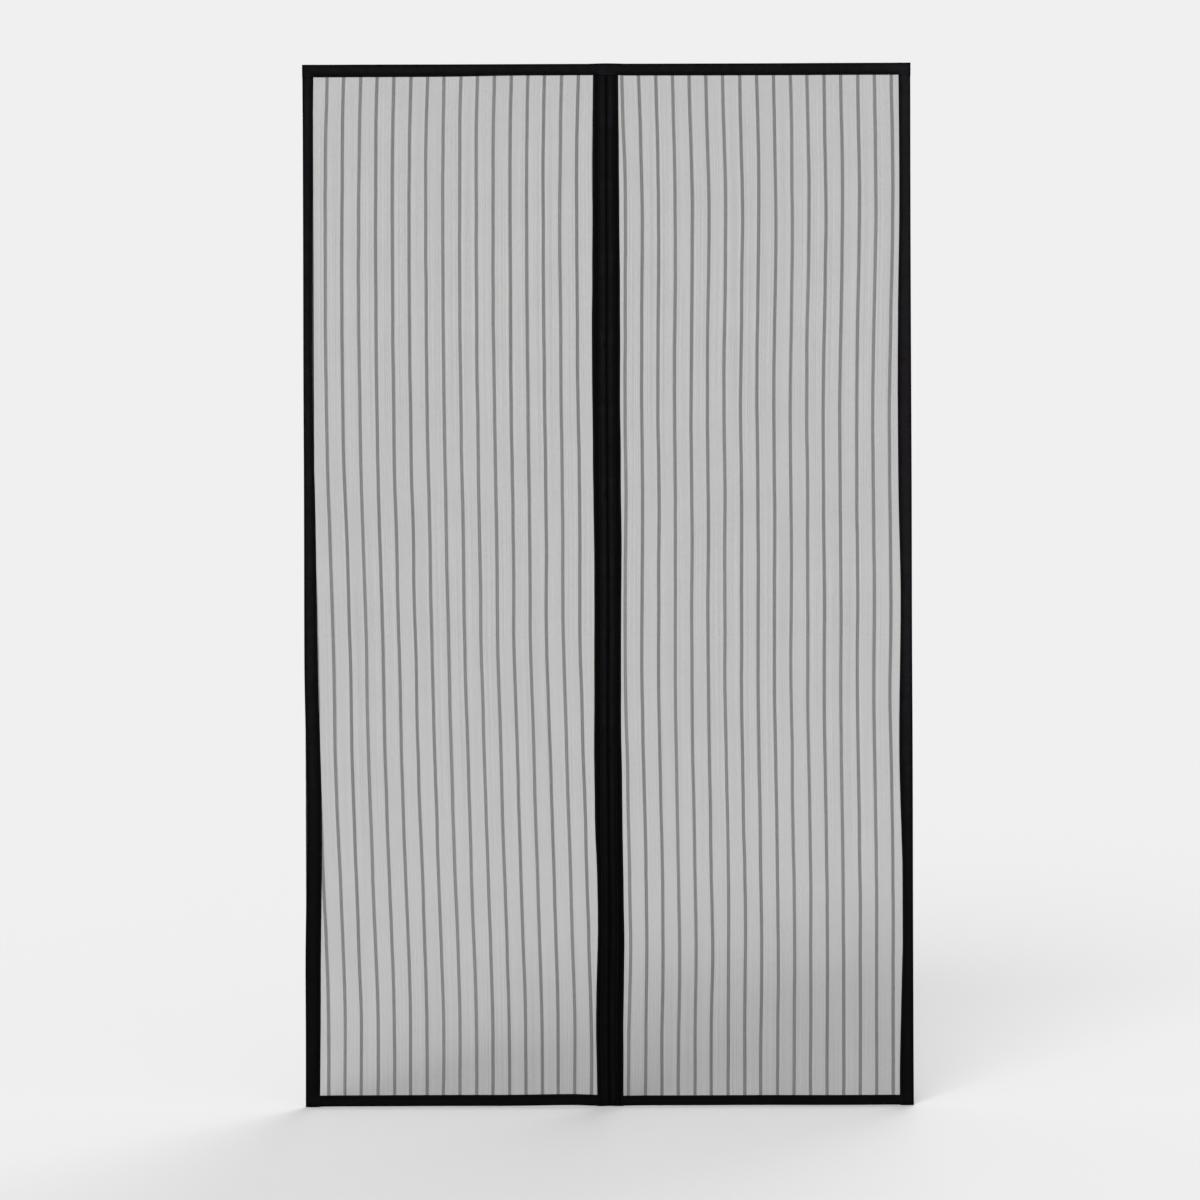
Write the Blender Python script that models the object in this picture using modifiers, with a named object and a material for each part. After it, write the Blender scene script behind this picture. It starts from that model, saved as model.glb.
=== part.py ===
# Magnetic insect screen for a doorway: two striped mesh panels bound in folded tape, closed down the
# middle by magnets sewn into two plackets, and hung by hook and loop tape round the door frame.
# Metres. +X is right and +Z up, and the front faces -Y. The origin is at the centre of the adhesive face
# of the top hook tape, which lies on the door frame.
from collections import namedtuple
from itertools import groupby

import bmesh
import bpy
from mathutils import Vector

SCREEN_WIDTH = 1.284
SCREEN_HEIGHT = 2.200
CLEARANCE = 0.0003  # between pieces that lie against each other

# Binding tape, folded in two over each edge
TAPE_LEAF = 0.0007
HEADER_WIDTH = 0.0240
SIDE_WIDTH = 0.0240
HEM_WIDTH = 0.0205
FOLD_SLACK = 0.0003  # past the leaf's own thickness, at a fold
FOLD_ROUND = 0.0012
FOLD_NOSE = 0.45  # height of the nose of a fold, as a share of the tape's thickness
LAYER_RAMP = 0.0080  # along a tape, for its climb onto the tape that it crosses

# Plackets, with a channel for the magnets between the fold and the mesh
PLACKET_SEAM = 0.0098  # sewn margin that holds the mesh
CHANNEL_SLOPE = 0.0022
CHANNEL_LIFT = 0.0004  # how far the leaves stand apart between magnets, past a tape that lies flat
END_TACK = 0.0060  # where the bottom of a channel is sewn flat
CENTRE_GAP = 0.0003

# Magnets
MAGNETS_PER_SIDE = 14
MAGNET_LENGTH = 0.0280
MAGNET_WIDTH = 0.0100
MAGNET_THICKNESS = 0.0030
MAGNET_EDGE = 0.0006
MAGNET_SIDE_ROOM = 0.0006
FIRST_MAGNET_DROP = 0.1180  # from the top of the screen
LAST_MAGNET_RISE = 0.0360  # from the bottom of the screen
POCKET_END_ROOM = 0.0010
POCKET_RAMP = 0.0110

# Mesh, with a thick warp stripe at each pitch and open slots between the fine warp threads
MESH_THICKNESS = 0.0005
MESH_TUCK = 0.0008  # from the hollow of a fold to the edge of the mesh
STRIPE_WIDTH = 0.0045
STRIPE_THICKNESS = 0.0010
STRIPE_CROWN = 0.0025
STRIPE_PITCH_TOP = 0.0355
STRIPE_PITCH_BOTTOM = 0.0349
LEFT_FIRST_STRIPE_TOP = 0.0598  # from the middle of the screen
LEFT_FIRST_STRIPE_BOTTOM = 0.0376
RIGHT_FIRST_STRIPE_TOP = 0.0342
RIGHT_FIRST_STRIPE_BOTTOM = 0.0387
SLOTS_PER_FIELD = 6
THREAD_SHARE = 0.34  # of the step from slot to slot
NARROWEST_FIELD = 0.0015  # a field that narrows past this has no slots
SELVEDGE = 0.0040  # solid edge of the mesh, which the tapes cover

# Hook and loop tape
LOOP_THICKNESS = 0.0012
HOOK_THICKNESS = 0.0012
FIXING_MARGIN = 0.0020  # from the edges and ends of the binding tape to those of the fixing tape on it
FIXING_CORNER_GAP = 0.0010  # between the top fixing tape and the side ones
FIXING_EDGE = 0.0003

LEFT = -1
RIGHT = 1

# Distance from the middle of the mesh to the inside of a leaf
SNUG = STRIPE_THICKNESS / 2 + CLEARANCE  # of a leaf that lies on the mesh
OVER = SNUG + TAPE_LEAF + CLEARANCE  # of a leaf that lies on another tape
MAGNET_ROOM = MAGNET_THICKNESS / 2 + CLEARANCE
CHANNEL_ROOM = SNUG + CHANNEL_LIFT
POCKET_HALF = MAGNET_LENGTH / 2 + POCKET_END_ROOM

HALF_WIDTH = SCREEN_WIDTH / 2
TOP = HEADER_WIDTH / 2
BOTTOM = TOP - SCREEN_HEIGHT
FOLD_DEPTH = TAPE_LEAF + FOLD_SLACK  # from the outside of a fold to its hollow
CHANNEL_WIDTH = MAGNET_WIDTH + 2 * (MAGNET_SIDE_ROOM + CHANNEL_SLOPE)
CHANNEL_END = FOLD_DEPTH + CHANNEL_WIDTH
PLACKET_WIDTH = CHANNEL_END + PLACKET_SEAM
PLACKET_EDGE = CENTRE_GAP / 2 + PLACKET_WIDTH
TAPE_BACK = -(HOOK_THICKNESS + LOOP_THICKNESS + 2 * CLEARANCE)
MESH_DEPTH = TAPE_BACK - TAPE_LEAF - OVER

# Heights above the bottom of the screen
HEM_END = HEM_WIDTH + CLEARANCE
HEADER_LIP = SCREEN_HEIGHT - HEADER_WIDTH - CLEARANCE
TUCKED_END = SCREEN_HEIGHT - FOLD_DEPTH - CLEARANCE  # of the tapes that the header covers

# Edges of the mesh, which lie inside the folds and beside the magnet channels
MESH_INNER = CENTRE_GAP / 2 + CHANNEL_END + MESH_TUCK
MESH_OUTER = HALF_WIDTH - FOLD_DEPTH - MESH_TUCK
MESH_LOW = BOTTOM + FOLD_DEPTH + MESH_TUCK
MESH_HIGH = TOP - FOLD_DEPTH - MESH_TUCK


def material(name, colour, roughness, metallic=0.0):
    surface = bpy.data.materials.new(name)
    surface.use_nodes = True
    shader = surface.node_tree.nodes["Principled BSDF"]
    shader.inputs["Base Color"].default_value = (*colour, 1.0)
    shader.inputs["Roughness"].default_value = roughness
    shader.inputs["Metallic"].default_value = metallic
    return surface


def clear_scene():
    for old in list(bpy.data.objects):
        bpy.data.objects.remove(old, do_unlink=True)


def new_collection(name):
    collection = bpy.data.collections.new(name)
    bpy.context.scene.collection.children.link(collection)
    return collection


def add_object(name, data, collection, parent=None, location=(0.0, 0.0, 0.0)):
    piece = bpy.data.objects.new(name, data)
    piece.location = location
    piece.parent = parent
    collection.objects.link(piece)
    return piece


def add_piece(name, mesh, surface, location=(0.0, 0.0, 0.0)):
    mesh.materials.append(surface)
    return add_object(name, mesh, PARTS, DOOR_FACE, location)


def add_bevel(piece, width):
    bevel = piece.modifiers.new("worn_edges", "BEVEL")
    bevel.width = width
    bevel.segments = 1
    bevel.limit_method = "NONE"


def add_block(name, size, location, edge, surface):
    mesh = bpy.data.meshes.new(name)
    block = bmesh.new()
    bmesh.ops.create_cube(block, size=1.0)
    bmesh.ops.scale(block, vec=size, verts=block.verts)
    block.to_mesh(mesh)
    block.free()
    piece = add_piece(name, mesh, surface, location)
    add_bevel(piece, edge)
    return piece


# Folded tape: rings of points are lofted along its run. In a ring, across runs from the outside of the
# fold to the lips, and depth from the front leaf, below zero, to the back one.


def fold_outside(front, back):
    """Outer points of a fold, from the front leaf to the back one."""
    middle = (back - front) / 2
    nose = (front + back) / 2 * FOLD_NOSE
    return [(FOLD_ROUND, -front), (0.0, middle - nose), (0.0, middle + nose), (FOLD_ROUND, back)]


def tape_ring(width, front, back):
    """Section of a tape whose leaves lie at these distances from the mesh."""
    outer_front = front + TAPE_LEAF
    outer_back = back + TAPE_LEAF
    outside = [(width, -outer_front), *fold_outside(outer_front, outer_back), (width, outer_back)]
    inside = [(width, back), (FOLD_DEPTH, back), (FOLD_DEPTH, -front), (width, -front)]
    return outside + inside


def placket_ring(grip, room):
    """Section of a placket: grip is at the mesh and room in the magnet channel, both to the middle."""
    outer_fold = SNUG + TAPE_LEAF
    outer_grip = grip + TAPE_LEAF
    outer_room = room + TAPE_LEAF
    flat_start = FOLD_DEPTH + CHANNEL_SLOPE
    flat_end = CHANNEL_END - CHANNEL_SLOPE
    front = [(PLACKET_WIDTH, -outer_grip), (CHANNEL_END, -outer_grip), (flat_end, -outer_room)]
    nose = [(flat_start, -outer_room), *fold_outside(outer_fold, outer_fold), (flat_start, outer_room)]
    back = [(flat_end, outer_room), (CHANNEL_END, outer_grip), (PLACKET_WIDTH, outer_grip)]
    hollow_back = [(PLACKET_WIDTH, grip), (CHANNEL_END, grip), (flat_end, room), (flat_start, room)]
    hollow_nose = [(FOLD_DEPTH, SNUG), (FOLD_DEPTH, -SNUG)]
    hollow_front = [(flat_start, -room), (flat_end, -room), (CHANNEL_END, -grip), (PLACKET_WIDTH, -grip)]
    return front + nose + back + hollow_back + hollow_nose + hollow_front


def loft_tape(name, rings, run, across, location):
    """One closed body through the rings, each given as (distance along the run, points)."""
    depth = Vector((0.0, 1.0, 0.0))
    tape = bmesh.new()
    loops = [
        [tape.verts.new(run * distance + across * a + depth * d) for a, d in points]
        for distance, points in rings
    ]
    for near, far in zip(loops, loops[1:]):
        for i in range(len(near)):
            j = (i + 1) % len(near)
            tape.faces.new((near[i], near[j], far[j], far[i]))
    tape.faces.new(loops[0])
    tape.faces.new(loops[-1])
    bmesh.ops.recalc_face_normals(tape, faces=tape.faces)
    mesh = bpy.data.meshes.new(name)
    tape.to_mesh(mesh)
    tape.free()
    return add_piece(name, mesh, TAPE, location)


def add_header():
    """Folded over both panels: its front leaf lifts over the side tapes and over the plackets."""
    centre_end = PLACKET_EDGE + CLEARANCE
    side_start = HALF_WIDTH - SIDE_WIDTH - CLEARANCE
    right_half = [
        (centre_end, OVER),
        (centre_end + LAYER_RAMP, SNUG),
        (side_start - LAYER_RAMP, SNUG),
        (side_start, OVER),
        (HALF_WIDTH, OVER),
    ]
    left_half = [(-x, front) for x, front in reversed(right_half)]
    rings = [(x, tape_ring(HEADER_WIDTH, front, OVER)) for x, front in left_half + right_half]
    loft_tape("header_tape", rings, Vector((1, 0, 0)), Vector((0, 0, -1)), (0.0, MESH_DEPTH, TOP))


def add_side_tape(name, side):
    """Folded over the outer edge, over the end of the hem tape, and inside the header at its top."""
    steps = [
        (0.0, OVER, OVER),
        (HEM_END, OVER, OVER),
        (HEM_END + LAYER_RAMP, SNUG, OVER),
        (HEADER_LIP - LAYER_RAMP, SNUG, OVER),
        (HEADER_LIP, SNUG, SNUG),
        (TUCKED_END, SNUG, SNUG),
    ]
    rings = [(rise, tape_ring(SIDE_WIDTH, front, back)) for rise, front, back in steps]
    loft_tape(name, rings, Vector((0, 0, 1)), Vector((-side, 0, 0)), (side * HALF_WIDTH, MESH_DEPTH, BOTTOM))


def add_hem_tape(name, side):
    """Folded over the bottom edge, with its ends inside the side tape and the placket."""
    inner_end = CENTRE_GAP / 2 + CHANNEL_END + CLEARANCE
    outer_end = HALF_WIDTH - FOLD_DEPTH - CLEARANCE
    rings = [(x, tape_ring(HEM_WIDTH, SNUG, SNUG)) for x in (inner_end, outer_end)]
    loft_tape(name, rings, Vector((side, 0, 0)), Vector((0, 0, 1)), (0.0, MESH_DEPTH, BOTTOM))


def magnet_rises():
    """Heights of the magnets' middles above the bottom of the screen, from the lowest up."""
    first = SCREEN_HEIGHT - FIRST_MAGNET_DROP
    pitch = (first - LAST_MAGNET_RISE) / (MAGNETS_PER_SIDE - 1)
    return [LAST_MAGNET_RISE + pitch * i for i in range(MAGNETS_PER_SIDE)]


def blend(start, end, share):
    return start + (end - start) * min(max(share, 0.0), 1.0)


def grip_at(rise):
    """Leaves of a placket at the mesh: out over the hem tape, then snug."""
    return blend(OVER, SNUG, (rise - HEM_END) / LAYER_RAMP)


def room_at(rise):
    """Leaves of a placket at the channel: out over each magnet, in between them, and flat at both ends."""
    from_magnet = min(abs(rise - middle) for middle in magnet_rises())
    room = blend(MAGNET_ROOM, CHANNEL_ROOM, (from_magnet - POCKET_HALF) / POCKET_RAMP)
    room = blend(SNUG, room, rise / END_TACK)
    return blend(room, SNUG, (rise - HEADER_LIP + LAYER_RAMP) / LAYER_RAMP)


def placket_rises():
    """Heights where the section of a placket changes."""
    rises = [0.0, END_TACK, HEM_END, HEM_END + LAYER_RAMP, HEADER_LIP - LAYER_RAMP, HEADER_LIP, TUCKED_END]
    for middle in magnet_rises():
        for reach in (POCKET_HALF, POCKET_HALF + POCKET_RAMP):
            rises += [middle - reach, middle + reach]
    spaced = []
    for rise in sorted(rises):
        if 0.0 <= rise <= TUCKED_END and (not spaced or rise - spaced[-1] > CLEARANCE):
            spaced.append(rise)
    return spaced


def add_placket(name, side):
    """Folded over the inner edge. The leaves bulge over each magnet and draw in between magnets."""
    rings = [(rise, placket_ring(grip_at(rise), room_at(rise))) for rise in placket_rises()]
    edge = side * CENTRE_GAP / 2
    loft_tape(name, rings, Vector((0, 0, 1)), Vector((side, 0, 0)), (edge, MESH_DEPTH, BOTTOM))


def add_magnets(name, side):
    across = CENTRE_GAP / 2 + FOLD_DEPTH + CHANNEL_WIDTH / 2
    size = (MAGNET_WIDTH, MAGNET_THICKNESS, MAGNET_LENGTH)
    for number, rise in enumerate(reversed(magnet_rises()), start=1):
        place = (side * across, MESH_DEPTH, BOTTOM + rise)
        add_block(f"{name}_{number:02d}", size, place, MAGNET_EDGE, MAGNET)


# Mesh panels. A warp line runs down a panel. Its distances from the middle of the screen at the top and at
# the bottom differ, because the cloth hangs a little askew and its stripes lean.

WarpLine = namedtuple("WarpLine", "top bottom crown open_after", defaults=(False, False))


def upright_line(distance):
    return WarpLine(distance, distance)


def moved(line, distance, crown=False):
    return WarpLine(line.top + distance, line.bottom + distance, crown)


def at_height(line, height):
    """How far from the middle a line is at this height."""
    return blend(line.top, line.bottom, (TOP - height) / SCREEN_HEIGHT)


def stripe_lines(first):
    """Middle lines of the stripes, from the placket out to the last one that the mesh has room for."""
    lines = []
    line = first
    while max(line.top, line.bottom) < MESH_OUTER - SELVEDGE:
        lines.append(line)
        line = WarpLine(line.top + STRIPE_PITCH_TOP, line.bottom + STRIPE_PITCH_BOTTOM)
    return lines


def field_lines(near, far):
    """Edges of the slots between two lines, with a thread between each two slots."""
    widths = (far.top - near.top, far.bottom - near.bottom)
    if min(widths) < NARROWEST_FIELD:
        return [near, far]
    full = (STRIPE_PITCH_TOP + STRIPE_PITCH_BOTTOM) / 2 - STRIPE_WIDTH
    count = max(1, round(SLOTS_PER_FIELD * max(widths) / full))
    lines = []
    for slot in range(count):
        for share, open_after in ((slot, True), (slot + 1 - THREAD_SHARE, False)):
            share /= count - THREAD_SHARE
            top = blend(near.top, far.top, share)
            lines.append(WarpLine(top, blend(near.bottom, far.bottom, share), False, open_after))
    return lines


def panel_lines(first_stripe):
    """All the lines of a panel, from its inner edge to its outer one."""
    lines = [upright_line(MESH_INNER)]
    near = upright_line(MESH_INNER + SELVEDGE)
    half = STRIPE_WIDTH / 2
    for stripe in stripe_lines(first_stripe):
        lines += field_lines(near, moved(stripe, -half))
        lines += [moved(stripe, -STRIPE_CROWN / 2, True), moved(stripe, STRIPE_CROWN / 2, True)]
        near = moved(stripe, half)
    lines += field_lines(near, upright_line(MESH_OUTER - SELVEDGE))
    lines.append(upright_line(MESH_OUTER))
    return lines


def cloth_sheet(name, side, lines):
    """A flat sheet with its slots open. Faces that no line or slot divides are made one."""
    heights = [MESH_LOW, MESH_LOW + SELVEDGE, MESH_HIGH - SELVEDGE, MESH_HIGH]
    columns = len(lines) - 1
    sheet = bmesh.new()
    bmesh.ops.create_grid(sheet, x_segments=columns, y_segments=len(heights) - 1)
    thick = sheet.verts.layers.deform.verify()
    for index, vert in enumerate(sheet.verts):
        row, column = divmod(index, len(lines))
        line = lines[column]
        vert.co = (side * at_height(line, heights[row]), 0.0, heights[row])
        vert[thick][0] = float(line.crown)
    faces = list(sheet.faces)
    low, middle, high = (faces[row * columns : (row + 1) * columns] for row in range(3))
    on_stripe = [lines[i].crown or lines[i + 1].crown for i in range(columns)]
    for is_stripe, run in groupby(range(columns), key=on_stripe.__getitem__):
        run = list(run)
        groups = [[low[i], middle[i], high[i]] for i in run]
        if not is_stripe:
            groups = [[low[i] for i in run], [high[i] for i in run]]
        for group in groups:
            bmesh.ops.dissolve_faces(sheet, faces=group, use_verts=True)
    slots = [middle[i] for i in range(columns) if lines[i].open_after]
    bmesh.ops.delete(sheet, geom=slots, context="FACES_ONLY")
    mesh = bpy.data.meshes.new(name)
    sheet.to_mesh(mesh)
    sheet.free()
    return mesh


def add_mesh_panel(name, side, first_stripe):
    """The sheet given its thickness, which is greater at the crowns of the stripes."""
    sheet = cloth_sheet(name, side, panel_lines(first_stripe))
    panel = add_piece(name, sheet, CLOTH, (0.0, MESH_DEPTH, 0.0))
    panel.vertex_groups.new(name="stripes")
    wall = panel.modifiers.new("thickness", "SOLIDIFY")
    wall.thickness = STRIPE_THICKNESS
    wall.offset = 0.0
    wall.vertex_group = "stripes"
    wall.thickness_vertex_group = MESH_THICKNESS / STRIPE_THICKNESS


def add_fixing_tapes(kind, thickness, front, surface):
    """A tape along the top and one down each side, with their front faces at this depth."""
    depth = front + thickness / 2
    top_width = HEADER_WIDTH - 2 * FIXING_MARGIN
    top_size = (SCREEN_WIDTH - 2 * FIXING_MARGIN, thickness, top_width)
    add_block(f"top_{kind}_tape", top_size, (0.0, depth, 0.0), FIXING_EDGE, surface)
    high = -top_width / 2 - FIXING_CORNER_GAP
    low = BOTTOM + FIXING_MARGIN
    side_size = (SIDE_WIDTH - 2 * FIXING_MARGIN, thickness, high - low)
    for side, word in ((LEFT, "left"), (RIGHT, "right")):
        place = (side * (HALF_WIDTH - SIDE_WIDTH / 2), depth, (high + low) / 2)
        add_block(f"{word}_{kind}_tape", side_size, place, FIXING_EDGE, surface)


clear_scene()
PARTS = new_collection("magnetic_insect_screen")
DOOR_FACE = add_object("door_face", None, PARTS)
TAPE = material("black_woven_tape", (0.012, 0.012, 0.014), 0.75)
CLOTH = material("grey_mesh", (0.045, 0.043, 0.043), 0.80)
MAGNET = material("dark_magnet", (0.050, 0.050, 0.052), 0.45, 0.6)
LOOP = material("black_loop_pile", (0.015, 0.015, 0.016), 0.95)
HOOK = material("black_hook_tape", (0.018, 0.018, 0.020), 0.55)

add_header()
add_mesh_panel("left_mesh", LEFT, WarpLine(LEFT_FIRST_STRIPE_TOP, LEFT_FIRST_STRIPE_BOTTOM))
add_mesh_panel("right_mesh", RIGHT, WarpLine(RIGHT_FIRST_STRIPE_TOP, RIGHT_FIRST_STRIPE_BOTTOM))
for side, word in ((LEFT, "left"), (RIGHT, "right")):
    add_side_tape(f"{word}_side_tape", side)
    add_hem_tape(f"{word}_hem_tape", side)
    add_placket(f"{word}_placket", side)
    add_magnets(f"{word}_magnet", side)
add_fixing_tapes("loop", LOOP_THICKNESS, TAPE_BACK + CLEARANCE, LOOP)
add_fixing_tapes("hook", HOOK_THICKNESS, -HOOK_THICKNESS, HOOK)
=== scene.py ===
import math

import bmesh
import bpy
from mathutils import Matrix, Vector, noise


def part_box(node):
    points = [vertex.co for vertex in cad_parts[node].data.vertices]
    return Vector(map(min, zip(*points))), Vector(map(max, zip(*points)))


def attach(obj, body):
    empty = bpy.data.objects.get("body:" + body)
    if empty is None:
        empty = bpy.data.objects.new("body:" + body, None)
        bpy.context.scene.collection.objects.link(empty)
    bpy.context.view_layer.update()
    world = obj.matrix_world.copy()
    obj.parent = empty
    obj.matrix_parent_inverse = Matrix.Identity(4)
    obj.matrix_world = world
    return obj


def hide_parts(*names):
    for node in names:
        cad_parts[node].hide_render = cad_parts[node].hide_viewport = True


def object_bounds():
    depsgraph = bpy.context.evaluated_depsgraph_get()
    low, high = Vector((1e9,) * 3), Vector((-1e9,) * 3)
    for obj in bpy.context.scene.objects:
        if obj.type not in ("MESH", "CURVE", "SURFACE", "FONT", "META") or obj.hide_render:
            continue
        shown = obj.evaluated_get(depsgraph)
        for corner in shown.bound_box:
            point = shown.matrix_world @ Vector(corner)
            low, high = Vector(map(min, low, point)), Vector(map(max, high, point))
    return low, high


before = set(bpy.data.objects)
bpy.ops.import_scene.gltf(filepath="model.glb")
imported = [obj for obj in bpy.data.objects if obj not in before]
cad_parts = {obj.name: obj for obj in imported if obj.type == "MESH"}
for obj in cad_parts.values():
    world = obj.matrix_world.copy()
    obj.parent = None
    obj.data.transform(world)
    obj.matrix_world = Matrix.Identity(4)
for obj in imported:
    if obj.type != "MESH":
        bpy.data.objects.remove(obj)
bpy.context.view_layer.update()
print("frame loaded:", len(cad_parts), "nodes")

# The magnetic insect screen, in metres. +X is right, +Z up, and the front faces -Y.

screenLow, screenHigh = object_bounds()
screenTop, screenBottom = screenHigh.z, screenLow.z
screenHeight = screenTop - screenBottom
halfWidth = screenHigh.x
netLow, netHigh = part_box("right_mesh")
netDepth = (netLow.y + netHigh.y) / 2  # middle of the net, front to back


def blendTo(start, end, share):
    return start + (end - start) * share


def smoothStep(share):
    share = min(max(share, 0.0), 1.0)
    return share * share * (3 - 2 * share)


def hump(distance, reach):
    # 1 at the middle, 0 from the reach outwards
    return 1 - smoothStep(abs(distance) / reach)


def sway(height, length, seed):
    # slow irregular swing along the height, about -1 to 1
    return 2.2 * noise.noise(Vector((height / length, seed, 0.37)))


def through(knots, place):
    # smooth line through pairs of place and value, level beyond both ends
    if place <= knots[0][0]:
        return knots[0][1]
    if place >= knots[-1][0]:
        return knots[-1][1]
    i = max(index for index, (start, _) in enumerate(knots) if start <= place)

    def slope(index):
        before, after = knots[max(index - 1, 0)], knots[min(index + 1, len(knots) - 1)]
        return (after[1] - before[1]) / (after[0] - before[0])

    (start, low), (end, high) = knots[i], knots[i + 1]
    share = (place - start) / (end - start)
    bend = (1 - share) * slope(i) - share * slope(i + 1)
    return blendTo(low, high, smoothStep(share)) + share * (1 - share) * bend * (end - start)


# Trees of nodes, for materials and for geometry alike

class Wire:
    # an output socket, which adds Math nodes when it is used in an expression
    def __init__(self, graph, socket):
        self.graph, self.socket = graph, socket

    def maths(self, operation, *others):
        return self.graph.add("ShaderNodeMath", {"operation": operation}, dict(enumerate((self, *others))))

    def __getitem__(self, name):
        # another output of the same node
        return Wire(self.graph, self.socket.node.outputs[name])

    def __add__(self, value):
        return self.maths("ADD", value)

    def __sub__(self, value):
        return self.maths("SUBTRACT", value)

    def __rsub__(self, value):
        return self.graph.add("ShaderNodeMath", {"operation": "SUBTRACT"}, {0: value, 1: self})

    def __mul__(self, value):
        return self.maths("MULTIPLY", value)

    def __truediv__(self, value):
        return self.maths("DIVIDE", value)

    def __mod__(self, value):
        return self.maths("FLOORED_MODULO", value)

    def __pow__(self, value):
        return self.maths("POWER", value)

    def __abs__(self):
        return self.maths("ABSOLUTE")

    __radd__, __rmul__ = __add__, __mul__


class Graph:
    def __init__(self, tree):
        self.tree = tree
        tree.nodes.clear()

    def add(self, kind, settings=None, sockets=None, out=0):
        node = self.tree.nodes.new(kind)
        for name, value in (settings or {}).items():
            setattr(node, name, value)
        for key, value in (sockets or {}).items():
            # a list of wires goes into a socket that takes several
            wires = value if isinstance(value, list) else [value]
            if isinstance(wires[0], Wire):
                for wire in wires:
                    self.tree.links.new(wire.socket, node.inputs[key])
            else:
                node.inputs[key].default_value = value
        return Wire(self, node.outputs[out]) if len(node.outputs) else node

    def objectPlace(self):
        return self.add("ShaderNodeTexCoord", out="Object")

    def axes(self, place):
        return self.add("ShaderNodeSeparateXYZ", {}, {0: place})

    def vector(self, x=0.0, y=0.0, z=0.0):
        return self.add("ShaderNodeCombineXYZ", {}, {0: x, 1: y, 2: z})

    def bump(self, strength, distance, height):
        return self.add("ShaderNodeBump", {}, {"Strength": strength, "Distance": distance, "Height": height})

    def mixColour(self, share, first, second):
        # the colour sockets of a Mix node are its seventh and eighth
        return self.add("ShaderNodeMix", {"data_type": "RGBA"}, {0: share, 6: first, 7: second}, out=2)

    def clampedStep(self, value, low, high):
        return self.add("ShaderNodeMapRange", {"interpolation_type": "SMOOTHSTEP"},
                        {"Value": value, "From Min": low, "From Max": high})

    def noiseAt(self, place, scale, detail=2.0, stretch=(1.0, 1.0, 1.0)):
        stretched = self.add("ShaderNodeVectorMath", {"operation": "MULTIPLY"}, {0: place, 1: stretch})
        return self.add("ShaderNodeTexNoise", {}, {"Vector": stretched, "Scale": scale, "Detail": detail})

    def randomBetween(self, low, high, seed):
        settings = {"data_type": "FLOAT"}
        return self.add("FunctionNodeRandomValue", settings, {2: low, 3: high, "Seed": seed}, out=1)

    def resampled(self, curve, length):
        return self.add("GeometryNodeResampleCurve", {"mode": "LENGTH"}, {"Curve": curve, "Length": length})

    def tube(self, curve, sides, radius, capped=True):
        circle = {"Resolution": sides, "Radius": radius}
        profile = self.add("GeometryNodeCurvePrimitiveCircle", {"mode": "RADIUS"}, circle)
        return self.add("GeometryNodeCurveToMesh", {},
                        {"Curve": curve, "Profile Curve": profile, "Fill Caps": capped})


def grey(level, cool=0.0):
    return (level, level * (1 + cool * 0.3), level * (1 + cool), 1.0)


def tinted(level, tint):
    return (*(level * share for share in tint), 1.0)


def newMaterial(name, build, fixed):
    # build returns what varies over the surface, and fixed holds the sockets that do not
    made = bpy.data.materials.new(name)
    made.use_nodes = True
    graph = Graph(made.node_tree)
    surface = graph.add("ShaderNodeBsdfPrincipled", {}, {**fixed, **build(graph)})
    graph.add("ShaderNodeOutputMaterial", {}, {"Surface": surface})
    return made


def clothAxes(graph):
    # the place on the flat cloth in metres, then its parts across and along
    cloth = graph.add("ShaderNodeUVMap", {"uv_map": "clothMap"})
    axes = graph.axes(cloth)
    return cloth, axes, axes["Y"]


def wave(value, pitch):
    # a rib at each pitch, from 0 in the groove to 1 on the crest
    return (value * (2 * math.pi / pitch)).maths("SINE") * 0.5 + 0.5


# Finishes

tapeFinish = {
    # the paler colour here is a painted highlight on the crowns of the tape
    "black": 0.0007, "worn": 0.0165, "lint": 0.022,
    # painted light from above: the tape is painted darker towards its lower end, as painted shade
    "freshBelow": 0.30, "fadedAbove": 1.15, "freshShare": 0.40,
    # painted light from the right: the tape grows paler towards the right edge
    "sunnyFrom": 0.50, "sunnyShare": 0.85, "tint": (1.04, 0.91, 1.07),
    "warpPitch": 0.00052, "weftPitch": 0.00098, "ribHeight": 0.00016,
    "slubSize": 420.0, "driftSize": 30.0, "lintSize": 900.0, "mottleSize": 46.0,
    "lintFrom": 0.745, "lintTo": 0.80,
}


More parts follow.
